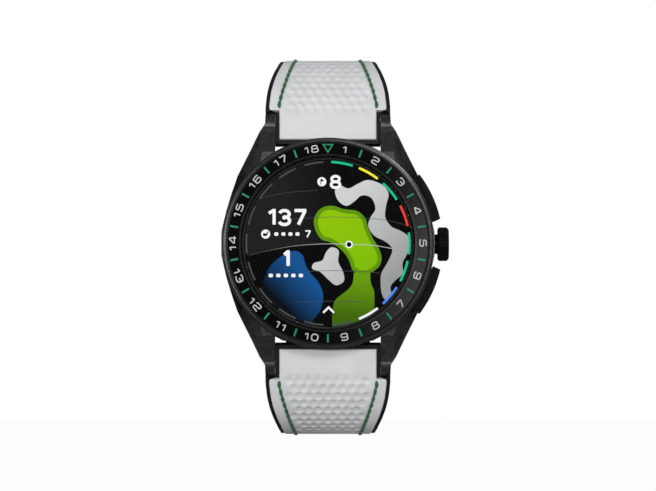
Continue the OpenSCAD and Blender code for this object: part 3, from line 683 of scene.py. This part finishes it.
fairway = smooth_loop([(9.0, -6.2), (9.1, -8.3), (9.8, -10.2), (9.9, -12.4), (9.8, -14.3)], 6, False)
fairway += arc(EDGE_R, 146, 177, 16)
fairway += smooth_loop([(0.9, -15.6), (1.1, -13.4), (1.6, -12.0), (3.0, -10.8), (4.5, -9.6), (5.3, -8.2),
                        (5.5, -6.2)], 6, False)
moss = lit("lit_moss", srgb(112, 164, 6), srgb(64, 104, 2), ((7, -6.5), (6, -15.5)), 0.06)
draw("screen_fairway", 1, moss, [fairway])

green_area = smooth_loop([(1.0, 8.0), (3.4, 7.3), (6.2, 6.9), (7.9, 5.4), (8.6, 3.2), (9.6, 1.0),
                          (10.8, -1.0), (11.4, -3.2), (10.6, -5.2), (8.0, -6.6), (5.4, -5.8), (4.4, -3.4),
                          (2.9, -1.4), (0.6, 0.2), (-1.4, 0.9), (-2.7, 3.0), (-2.9, 5.4), (-1.4, 7.5)])
draw("screen_green_edge", 2, lit("lit_leaf", srgb(98, 152, 4)), [green_area])
draw("screen_green", 3, lit("lit_lime", srgb(146, 200, 0), srgb(130, 192, 0), ((2, 6), (8, -5))),
     [shrink(green_area, 0.85)])

sand = [smooth_loop([(1.5, 11.2), (2.2, 9.1), (3.9, 8.0), (5.6, 8.9), (7.2, 10.2), (9.2, 9.7),
                     (10.1, 7.4), (9.0, 5.4), (8.6, 3.6), (9.9, 1.6), (12.2, 0.4), (13.7, -1.3),
                     (12.7, -4.0), (11.4, -6.3), (11.2, -8.6), (11.5, -10.8), (12.3, -12.0),
                     (13.5, -11.0), (13.3, -9.2), (14.4, -7.8), (15.9, -6.4), (15.9, -4.1), (17.0, -1.8),
                     (17.2, 1.2), (15.6, 2.6), (13.5, 3.6), (12.2, 5.6), (12.4, 8.2), (12.9, 10.6),
                     (11.5, 12.5), (8.6, 13.5), (6.4, 12.7), (4.4, 11.7), (2.6, 12.3)])]
draw("screen_sand", 2, lit("lit_sand", grey(216), grey(158), ((4, 10), (17, -4)), 0.08), sand)
small_sand = smooth_loop([(-0.4, -1.9), (0.8, -0.8), (2.3, -1.6), (2.2, -3.9), (3.2, -6.0), (3.4, -8.0),
                          (1.7, -8.9), (0.0, -7.6), (-1.6, -6.1), (-3.3, -5.4), (-3.0, -4.2), (-1.2, -3.6)])
draw("screen_sand_small", 2, lit("lit_sand_small", grey(212), grey(190), ((-2, -2), (3, -8)), 0.08),
     [small_sand])

ridge = smooth_loop([(-16.8, -2.5), (-12, -1.4), (-6.8, -0.5), (-0.9, -0.1), (4.5, -0.2), (9.5, -0.4),
                     (13.7, -1.1)], 8, False)
draw("screen_ridge", 5, lit("lit_line", grey(205), grey(74), ((4, 0), (-13, -2))),
     strokes=[(ridge, 0.13, False)])
contours = [
    smooth_loop([(-8, 5.2), (0.4, 5.6), (7.6, 5.4), (12.4, 4.9), (16.6, 3.9)], 8, False),
    smooth_loop([(-14.2, 9.6), (-8.7, 10.8), (-2.2, 11.3)], 8, False),
    smooth_loop([(-5.1, -6), (1, -5.8), (7.6, -6), (11.1, -6.3)], 8, False),
    smooth_loop([(-6.8, -12.5), (0.4, -12.3), (7.6, -12.4)], 8, False),
]
draw("screen_contours", 5, lit("lit_faint", grey(74)), strokes=[(line, 0.1, False) for line in contours])

# Ball: a white ring round a dark dot
BALL = (4.49, -0.23)
draw("screen_ball", 6, white, [oval(*BALL, 0.8, 0.8)])
draw("screen_ball_dot", 7, lit("lit_black", grey(4)), [oval(*BALL, 0.52, 0.52)])

# Progress arcs round the edge, one for each hole
ARC_R = 17.35
MINT, YELLOW, RED = srgb(28, 198, 138), srgb(255, 240, 66), srgb(240, 64, 58)
arc_colours = dict(enumerate([MINT, YELLOW, MINT, RED, MINT, MINT, srgb(80, 140, 240), grey(250)], 1))
PLAYED = (2.4, 0.5)  # an arc's gap at each end in degrees, and its width
TO_PLAY = (3.2, 0.38)
for number in range(1, HOLES + 1):
    end_gap, arc_width = PLAYED if number in arc_colours else TO_PLAY
    start, end = STEP * (number - 1) + end_gap, STEP * number - end_gap
    colour = arc_colours.get(number, grey(74))
    draw(f"screen_arc_{number}", 5, lit(f"lit_arc_{number}", colour),
         strokes=[(arc(ARC_R, start, end), arc_width, False)])

# Numbers, with rounder forms than the bezel's
ROUND_DIGITS = {
    "1": (0.44, [(False, [(0.02, 0.80), (0.36, 1), (0.42, 1), (0.42, 0)])]),
    "3": (0.80, [(False, oval(0.40, 0.745, 0.37, 0.255, 165, -80, 14)
                  + oval(0.40, 0.265, 0.40, 0.265, 80, -165, 14)),
                 (False, [(0.25, 0.505), (0.45, 0.505)])]),
    "7": (0.78, [(False, [(0, 1), (0.78, 1), (0.78, 0.92), (0.30, 0)])]),
    "8": (0.82, [(True, oval(0.41, 0.755, 0.36, 0.245)), (True, oval(0.41, 0.265, 0.41, 0.265))]),
}


def screen_number(name, text, x0, x1, y0, y1, weight):
    """White number that fills a box on the display."""
    solid = Solid(picture_layer(8))
    gap = 0.5 * weight
    units = sum(ROUND_DIGITS[c][0] for c in text)
    scale = (x1 - x0 - gap * (len(text) - 1) - weight * len(text)) / units
    at = x0
    for c in text:
        width, strokes = ROUND_DIGITS[c]
        for closed, points in strokes:
            path = [(at + weight / 2 + x * scale, y0 + weight / 2 + y * (y1 - y0 - weight))
                    for x, y in points]
            solid.stroke(path, weight, closed)
        at += width * scale + weight + gap
    return make_piece(name, solid.verts, solid.faces, white, "case")


screen_number("screen_hole", "8", 0.40, 2.84, 11.57, 14.59, 0.58)
screen_number("screen_distance", "137", -12.95, -4.60, 3.67, 7.34, 0.68)
screen_number("screen_club", "7", -4.96, -3.66, 1.17, 2.80, 0.30)
screen_number("screen_strokes", "1", -9.7, -8.05, -5.13, -1.46, 0.72)

# Icons: a flag in a disc, a club head in a disc, a row of pips in place of the words
flag_at = (-1.29, 13.13)
club_at = (-13.24, 1.98)
draw("screen_icon_discs", 7, white, [oval(*flag_at, 0.97, 0.97), oval(*club_at, 0.97, 0.97)])
flag = [(flag_at[0] + x, flag_at[1] + y) for x, y in
        [(-0.28, -0.62), (-0.12, -0.62), (-0.12, -0.02), (0.52, 0.26), (-0.12, 0.60), (-0.28, 0.60)]]
club = [(club_at[0] + x, club_at[1] + y) for x, y in
        [(-0.62, -0.06), (-0.46, -0.40), (0.10, -0.44), (0.40, -0.10), (0.66, 0.56), (0.48, 0.60),
         (0.14, 0.10), (-0.40, 0.22)]]
draw("screen_icon_marks", 8, lit("lit_mark", grey(10)), [flag, club])
pips = [round_corners([(x, 1.62), (x + 0.86, 1.62), (x + 0.86, 2.36), (x, 2.36)], 0.3, True)
        for x in (-11.4, -9.9, -8.4, -6.9)]
pips += [round_corners([(x, -7.2), (x + 0.92, -7.2), (x + 0.92, -6.44), (x, -6.44)], 0.3, True)
         for x in (-12.6, -11.0, -9.4, -7.8, -6.2)]
draw("screen_pips", 8, white, pips)
draw("screen_chevron", 8, white, strokes=[([(-1.0, -14.75), (0.14, -13.6), (1.3, -14.75)], 0.42, False)])


# ---- Strap ----

# Middle line of the strap, as in the CAD source: three arcs of falling slope
LUG_BAR = (25.2, 3.2)
STRAP_REACH = 39.0
STRAP_DEPTH = 49.0
CLASP_BEND_R = 42.0
BEND_JOIN = math.radians(140)
SPLIT_T = -0.6
TOP_T = 1.6
END_Y = 7.2
WHITE_INSET = 0.78
HALF_WIDTHS = ((0, 13.4), (4.4, 13.35), (7.5, 13), (10, 12.5), (13, 11.75), (16, 11), (20, 10.3),
               (24, 10), (50, 9.5), (90, 9.1))
STITCH_LINE = ((4.4, 10.45), (7.5, 9.75), (10, 9.1), (13, 8.4), (16, 7.75), (20, 7.15), (24, 6.95),
               (50, 6.6), (90, 6.2))
STITCH_START = 4.0
TONGUE_HALF = 10.4
ROOT_R = 3.4
WING_START = 3.2
BAR_HOLE_R = 0.96

side_r = (STRAP_REACH - CLASP_BEND_R * math.sin(BEND_JOIN)) / (1 - math.sin(BEND_JOIN))
low_z = CLASP_BEND_R - STRAP_DEPTH
side_y = STRAP_REACH - side_r
side_z = low_z + (CLASP_BEND_R - side_r) * math.cos(BEND_JOIN)
rise, run = LUG_BAR[1] - side_z, STRAP_REACH - LUG_BAR[0]
start_slope = math.pi / 2 - 2 * math.atan(run / rise)
lug_r = rise / math.cos(start_slope)
arc_1 = lug_r * (math.pi / 2 - start_slope)
arc_2 = side_r * (BEND_JOIN - math.pi / 2)
end_slope = math.pi - math.asin(END_Y / CLASP_BEND_R)
strap_length = arc_1 + arc_2 + CLASP_BEND_R * (end_slope - BEND_JOIN)


def spine(s):
    """Centre (y, z), radius and slope of the middle line at a length from the lug bar."""
    if s < arc_1:
        return (STRAP_REACH - lug_r, side_z), lug_r, start_slope + max(s, 0) / lug_r
    if s < arc_1 + arc_2:
        return (side_y, side_z), side_r, math.pi / 2 + (s - arc_1) / side_r
    return (0.0, low_z), CLASP_BEND_R, BEND_JOIN + (s - arc_1 - arc_2) / CLASP_BEND_R


def strap_point(x, s, t, sign):
    """Point at length s and height t above the middle line; sign is 1 for the 12 o'clock half."""
    (cy, cz), radius, slope = spine(s)
    y = cy + (radius + t) * math.sin(slope)
    z = cz + (radius + t) * math.cos(slope)
    if s < 0:
        y += s * math.cos(slope)
        z -= s * math.sin(slope)
    return place(x, sign * y, z)


def half_width(s):
    """Half width of the lining at a length along the strap."""
    lengths, widths = zip(*HALF_WIDTHS)
    return float(np.interp(s, lengths, widths))


def stitch_x(s):
    """Distance of the stitches from the middle."""
    lengths, places = zip(*STITCH_LINE)
    return float(np.interp(s, lengths, places))


DIMPLE_ACROSS = 2.06
DIMPLE_ALONG = 1.78
DIMPLE_R = 0.92
DIMPLE_DEPTH = 0.27
DIMPLE_START = 3.35


def dimple_depth(x, s):
    """Depth of the golf-ball dimples, in staggered rows between the stitches."""
    row = round((s - DIMPLE_START) / DIMPLE_ALONG)
    deepest = 0.0
    for r in (row - 1, row, row + 1):
        if r < 0:
            continue
        centre_s = DIMPLE_START + r * DIMPLE_ALONG
        if centre_s > strap_length - 2:
            continue
        shift = DIMPLE_ACROSS / 2 if r % 2 else 0.0
        limit = stitch_x(centre_s) - 1.25
        centre_x = round((x - shift) / DIMPLE_ACROSS) * DIMPLE_ACROSS + shift
        if abs(centre_x) > limit:
            continue
        away = math.hypot(x - centre_x, s - centre_s) / DIMPLE_R
        if away < 1:
            bowl = 1 - away * away
            deepest = max(deepest, DIMPLE_DEPTH * bowl * (1.35 - 0.35 * bowl))
    return deepest


GROOVE_HALF = 0.48
GROOVE_DEPTH = 0.16
GROOVE_LEAD = 0.5  # the groove starts this far before the stitches
GROOVE_FADE = 0.4


def groove_depth(x, s):
    """Shallow channel that the stitches lie in."""
    if s < STITCH_START - GROOVE_LEAD:
        return 0.0
    off = abs(abs(x) - stitch_x(s)) / GROOVE_HALF
    fade = min(1.0, (s - STITCH_START + GROOVE_LEAD) / GROOVE_FADE)
    return GROOVE_DEPTH * fade * (1 - off * off) if off < 1 else 0.0


EDGE_ROUND = 0.32
INNER_HALF = 6.6


def strap_columns(half):
    """Column places across the top: even near the middle, stretched towards the edge."""
    flat_half = half - EDGE_ROUND
    inner = np.linspace(0, INNER_HALF, 34)
    outer = np.linspace(INNER_HALF, flat_half, 27)[1:]
    side = np.concatenate([inner, outer])
    return np.concatenate([-side[:0:-1], side])


WING_ROUND = 0.6
WING_LIP = 1.25
UNDERCUT = 1.5  # fall of the wing's lower face for each millimetre along the strap
CLASP_NOTCH_Y = 8.4
CLASP_NOTCH_HALF = 7.2
notch_start = strap_length - CLASP_BEND_R * (math.asin(CLASP_NOTCH_Y / (CLASP_BEND_R + SPLIT_T))
                                             - math.asin(END_Y / CLASP_BEND_R))


def white_half(s):
    """Half width of the white layer: tongue between the lugs, rounded wings, notch at the clasp."""
    if s < WING_START:
        return TONGUE_HALF
    if s > notch_start:
        return CLASP_NOTCH_HALF
    corner = max(0.0, 1 - (s - WING_START) / WING_ROUND)
    return half_width(s) - WHITE_INSET - WING_ROUND * (1 - math.sqrt(1 - corner * corner))


def strap_ring(s, sign):
    """One cross-section of the white layer, anticlockwise seen along the strap."""
    half = white_half(s)
    top, bottom = TOP_T, SPLIT_T
    if s < 0:
        limit = math.sqrt(max(ROOT_R ** 2 - s * s, 0.01))
        top, bottom = min(top, limit), max(bottom, -limit)
    if abs(s) < BAR_HOLE_R:
        bottom = math.sqrt(max(BAR_HOLE_R ** 2 - s * s, 0.0004))
    wing_bottom = bottom
    if s >= WING_START:
        wing_bottom = max(bottom, WING_LIP - UNDERCUT * (s - WING_START))
    edge = min(EDGE_ROUND, (top - wing_bottom) * 0.45)
    ring = []
    for x in strap_columns(half):
        drop = dimple_depth(x, s) + groove_depth(x, s)
        ring.append((x, top - drop))
    for k in range(1, 7):
        a = math.radians(15 * k)
        ring.append((half - EDGE_ROUND + EDGE_ROUND * math.sin(a), top - edge + edge * math.cos(a)))
    inner = min(TONGUE_HALF, half - 0.3)
    under = [(half, wing_bottom + 0.05), (half - 0.05, wing_bottom), (inner, wing_bottom),
             (inner - 0.05, bottom), (inner / 2, bottom)]
    ring += under + [(0, bottom)] + [(-x, t) for x, t in reversed(under)]
    for k in range(6, 0, -1):
        a = math.radians(15 * k)
        ring.append((-half + EDGE_ROUND - EDGE_ROUND * math.sin(a), top - edge + edge * math.cos(a)))
    return [strap_point(x, s, t, sign) for x, t in ring]


def strap_stations():
    """Lengths at which the strap's cross-sections stand."""
    root = [-3.36, -3.3, -3.15, -2.9, -2.5, -2.0, -1.5, -BAR_HOLE_R - 0.01]
    hole = list(np.linspace(-BAR_HOLE_R, BAR_HOLE_R, 9))
    tongue = [BAR_HOLE_R + 0.01, 1.3, 1.8, 2.3, 2.8, WING_START - 0.004]
    wing = [WING_START + WING_ROUND * k / 8 for k in range(8)]
    rest = list(np.arange(WING_START + WING_ROUND, notch_start - 0.1, 0.2))
    end = [notch_start - 0.002, notch_start + 0.002, notch_start + 0.4, strap_length - 0.02]
    return root + hole + tongue + wing + rest + end


def strap_half(name, sign, body, node):
    rings = [strap_ring(s, sign) for s in strap_stations()]
    n = len(rings[0])
    verts = [v for ring in rings for v in ring]
    faces = []
    for i in range(len(rings) - 1):
        for j in range(n):
            a, b = i * n + j, i * n + (j + 1) % n
            quad = (a, b, b + n, a + n)
            faces.append(quad if sign > 0 else quad[::-1])
    first, last = tuple(range(n)), tuple(range(len(verts) - n, len(verts)))
    faces.append(first[::-1] if sign > 0 else first)
    faces.append(last if sign > 0 else last[::-1])
    piece = make_piece(name, verts, faces, slot_materials["white_rubber"], body, 50)
    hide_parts(node)


strap_half("strap_12_skin", 1, "strap_12", "strap_12_outer")
strap_half("strap_6_skin", -1, "strap_6", "strap_6_outer")

STITCH_PITCH = 1.6
STITCH_LENGTH = 1.9
STITCH_R = 0.36


def stitch_row(solid_verts, solid_faces, side, sign):
    """One row of stitches: each a twisted run of two threads that dips in at both ends."""
    around, along = 12, 16
    count = int((strap_length - 2 - STITCH_START) / STITCH_PITCH)
    for k in range(count):
        s0 = STITCH_START + k * STITCH_PITCH + STITCH_PITCH / 2 - 0.4
        base = len(solid_verts)
        for i in range(along + 1):
            u = i / along
            s = s0 + (u - 0.5) * STITCH_LENGTH
            x0 = stitch_x(s)
            fat = STITCH_R * max(0.12, math.sin(math.pi * u) ** 0.4)
            height = TOP_T + 0.02 - 0.28 * (2 * u - 1) ** 4
            for j in range(around):
                a = 2 * math.pi * j / around
                r = fat * (1 + 0.2 * abs(math.cos(a + math.pi * 2.2 * u)) - 0.12)
                x = side * (x0 + (u - 0.5) * 0.16 + r * math.cos(a))
                solid_verts.append(strap_point(x, s, height + 0.85 * r * math.sin(a), sign))
        flip = side * sign < 0
        for i in range(along):
            for j in range(around):
                a, b = base + i * around + j, base + i * around + (j + 1) % around
                quad = (a, a + around, b + around, b)
                solid_faces.append(quad[::-1] if flip else quad)
        first = tuple(range(base, base + around))
        last = tuple(range(base + along * around, base + (along + 1) * around))
        solid_faces.append(first[::-1] if flip else first)
        solid_faces.append(last if flip else last[::-1])


def stitching(name, sign, body, node):
    verts, faces = [], []
    for side in (-1, 1):
        stitch_row(verts, faces, side, sign)
    piece = make_piece(name, verts, faces, slot_materials["green_thread"], body, 60)
    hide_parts(node)


stitching("strap_12_thread", 1, "strap_12", "strap_12_stitching")
stitching("strap_6_thread", -1, "strap_6", "strap_6_stitching")


# ---- Springs under the crown, the pushers and the clasp buttons ----

# Node: (body, joint, coil radius, turns, length)
SPRINGS = {
    "crown_spring": ("case", "crown_press", 1.35, 3, 1.61),
    "pusher_top_spring": ("case", "pusher_top_press", 1.15, 4, 2.16),
    "pusher_bottom_spring": ("case", "pusher_bottom_press", 1.15, 4, 2.16),
    "clasp_spring_left": ("plate", "button_left_press", 0.85, 3, 1.96),
    "clasp_spring_right": ("plate", "button_right_press", 0.85, 3, 1.96),
}
SPRING_WIRE_R = 0.1
joints = {joint["name"]: joint for joint in frame["record"]["behaviour"]["joints"]}


def spring(node, body, joint, radius, turns, length):
    """Round-wire coil between the wall and the moving part."""
    low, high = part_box(node)
    middle = (low + high) / 2
    out = -Vector(joints[joint]["axis"]).normalized()
    across = out.orthogonal().normalized()
    third = out.cross(across)
    steps, around = 24 * turns, 8
    verts, faces = [], []
    for i in range(steps + 1):
        angle = 2 * math.pi * turns * i / steps
        spoke = across * math.cos(angle) + third * math.sin(angle)
        reach = (length - 2 * SPRING_WIRE_R) * (i / steps - 0.5)
        centre = middle + (out * reach + spoke * radius) * MM
        for j in range(around):
            a = 2 * math.pi * j / around
            verts.append(centre + (spoke * math.cos(a) + out * math.sin(a)) * SPRING_WIRE_R * MM)
    for i in range(steps):
        for j in range(around):
            a, b = i * around + j, i * around + (j + 1) % around
            faces.append((a, b, b + around, a + around))
    faces.append(tuple(range(around - 1, -1, -1)))
    faces.append(tuple(range(steps * around, (steps + 1) * around)))
    piece = make_piece(f"{node}_coil", verts, faces, slot_materials["spring_steel"], body,
                       50)
    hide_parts(node)
    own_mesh(piece)


for spring_node, spring_values in SPRINGS.items():
    spring(spring_node, *spring_values)


# ---- Floor, light and camera ----

FRAME_WIDTH = 0.13925
CAMERA_DISTANCE = 1.0
ELEVATION = -2.0
target = Vector((0.00002, cad_low.y + 0.0008, -0.0005))


def white_out(tree, lighting, output, share):
    """Mixes plain white into what the camera sees directly, so the stage is white but lights softly."""
    paper_white = tree.nodes.new("ShaderNodeEmission")
    direct = tree.nodes.new("ShaderNodeLightPath")
    amount = tree.nodes.new("ShaderNodeMath")
    amount.operation = "MULTIPLY"
    amount.inputs[1].default_value = share
    choose = tree.nodes.new("ShaderNodeMixShader")
    tree.links.new(direct.outputs["Is Camera Ray"], amount.inputs[0])
    tree.links.new(amount.outputs["Value"], choose.inputs["Fac"])
    tree.links.new(lighting, choose.inputs[1])
    tree.links.new(paper_white.outputs["Emission"], choose.inputs[2])
    tree.links.new(choose.outputs["Shader"], output.inputs["Surface"])


SWING_ROOM = 0.0075  # the opened strap swings down almost this far
PAPER_SHARE = 0.975
floor_mesh = bpy.data.meshes.new("floor")
reach = 6.0
floor_z = cad_low.z - SWING_ROOM
floor_mesh.from_pydata([(-reach, -reach, floor_z), (reach, -reach, floor_z), (reach, reach, floor_z),
                        (-reach, reach, floor_z)], [], [(0, 1, 2, 3)])
floor_mat, floor_tree, floor_shader = new_material("floor_paper", Roughness=1.0, Specular_IOR_Level=0.0)
paper = ramp(floor_tree, noise(floor_tree, 30), (0.3, grey(176)), (0.7, grey(182)))
floor_tree.links.new(paper, floor_shader.inputs["Base Color"])
white_out(floor_tree, floor_shader.outputs["BSDF"], floor_tree.nodes["Material Output"], PAPER_SHARE)
floor_mesh.materials.append(floor_mat)
floor = bpy.data.objects.new("floor", floor_mesh)
bpy.context.scene.collection.objects.link(floor)

world = bpy.data.worlds.new("studio")
bpy.context.scene.world = world
world.use_nodes = True
surround = world.node_tree.nodes["Background"]
surround.inputs["Color"].default_value = (0.95, 0.97, 1.0, 1)
surround.inputs["Strength"].default_value = 0.22
white_out(world.node_tree, surround.outputs["Background"], world.node_tree.nodes["World Output"], 1.0)


def softbox(name, place_at, size, power):
    """Rectangular area light aimed at the watch."""
    light = bpy.data.lights.new(name, "AREA")
    light.shape = "RECTANGLE"
    light.size, light.size_y = size
    light.energy = power
    obj = bpy.data.objects.new(name, light)
    obj.location = place_at
    aim = Vector((0, 0, 0)) - Vector(place_at)
    obj.rotation_euler = aim.to_track_quat("-Z", "Y").to_euler()
    bpy.context.scene.collection.objects.link(obj)
    return obj


softbox("key_box", (0.3, -1.5, 0.42), (0.5, 0.3), 6.1)
softbox("front_right", (0.33, -1.7, 0.05), (0.3, 0.1), 4.2)
softbox("front_left", (-0.34, -1.7, 0.05), (0.35, 0.1), 4.8)
softbox("fill_left", (-0.68, -1.25, 0.06), (0.3, 0.16), 2.0)
softbox("left_box", (-1.1, -0.35, 0.15), (0.3, 0.5), 2.2)
softbox("right_box", (1.1, -0.2, 0.35), (0.3, 0.3), 0.4)
softbox("rim_box", (0.5, 0.42, 0.62), (0.3, 0.3), 1.6)

camera_data = bpy.data.cameras.new("camera")
camera_data.sensor_width = 36
camera_data.lens = 36 * CAMERA_DISTANCE / FRAME_WIDTH
camera_data.clip_start = 0.01
camera = bpy.data.objects.new("camera", camera_data)
bpy.context.scene.collection.objects.link(camera)
tilt = math.radians(ELEVATION)
camera.location = target + Vector((0, -math.cos(tilt), math.sin(tilt))) * CAMERA_DISTANCE
camera.rotation_euler = (target - camera.location).to_track_quat("-Z", "Y").to_euler()
bpy.context.scene.camera = camera
bpy.context.scene.view_settings.view_transform = "Standard"
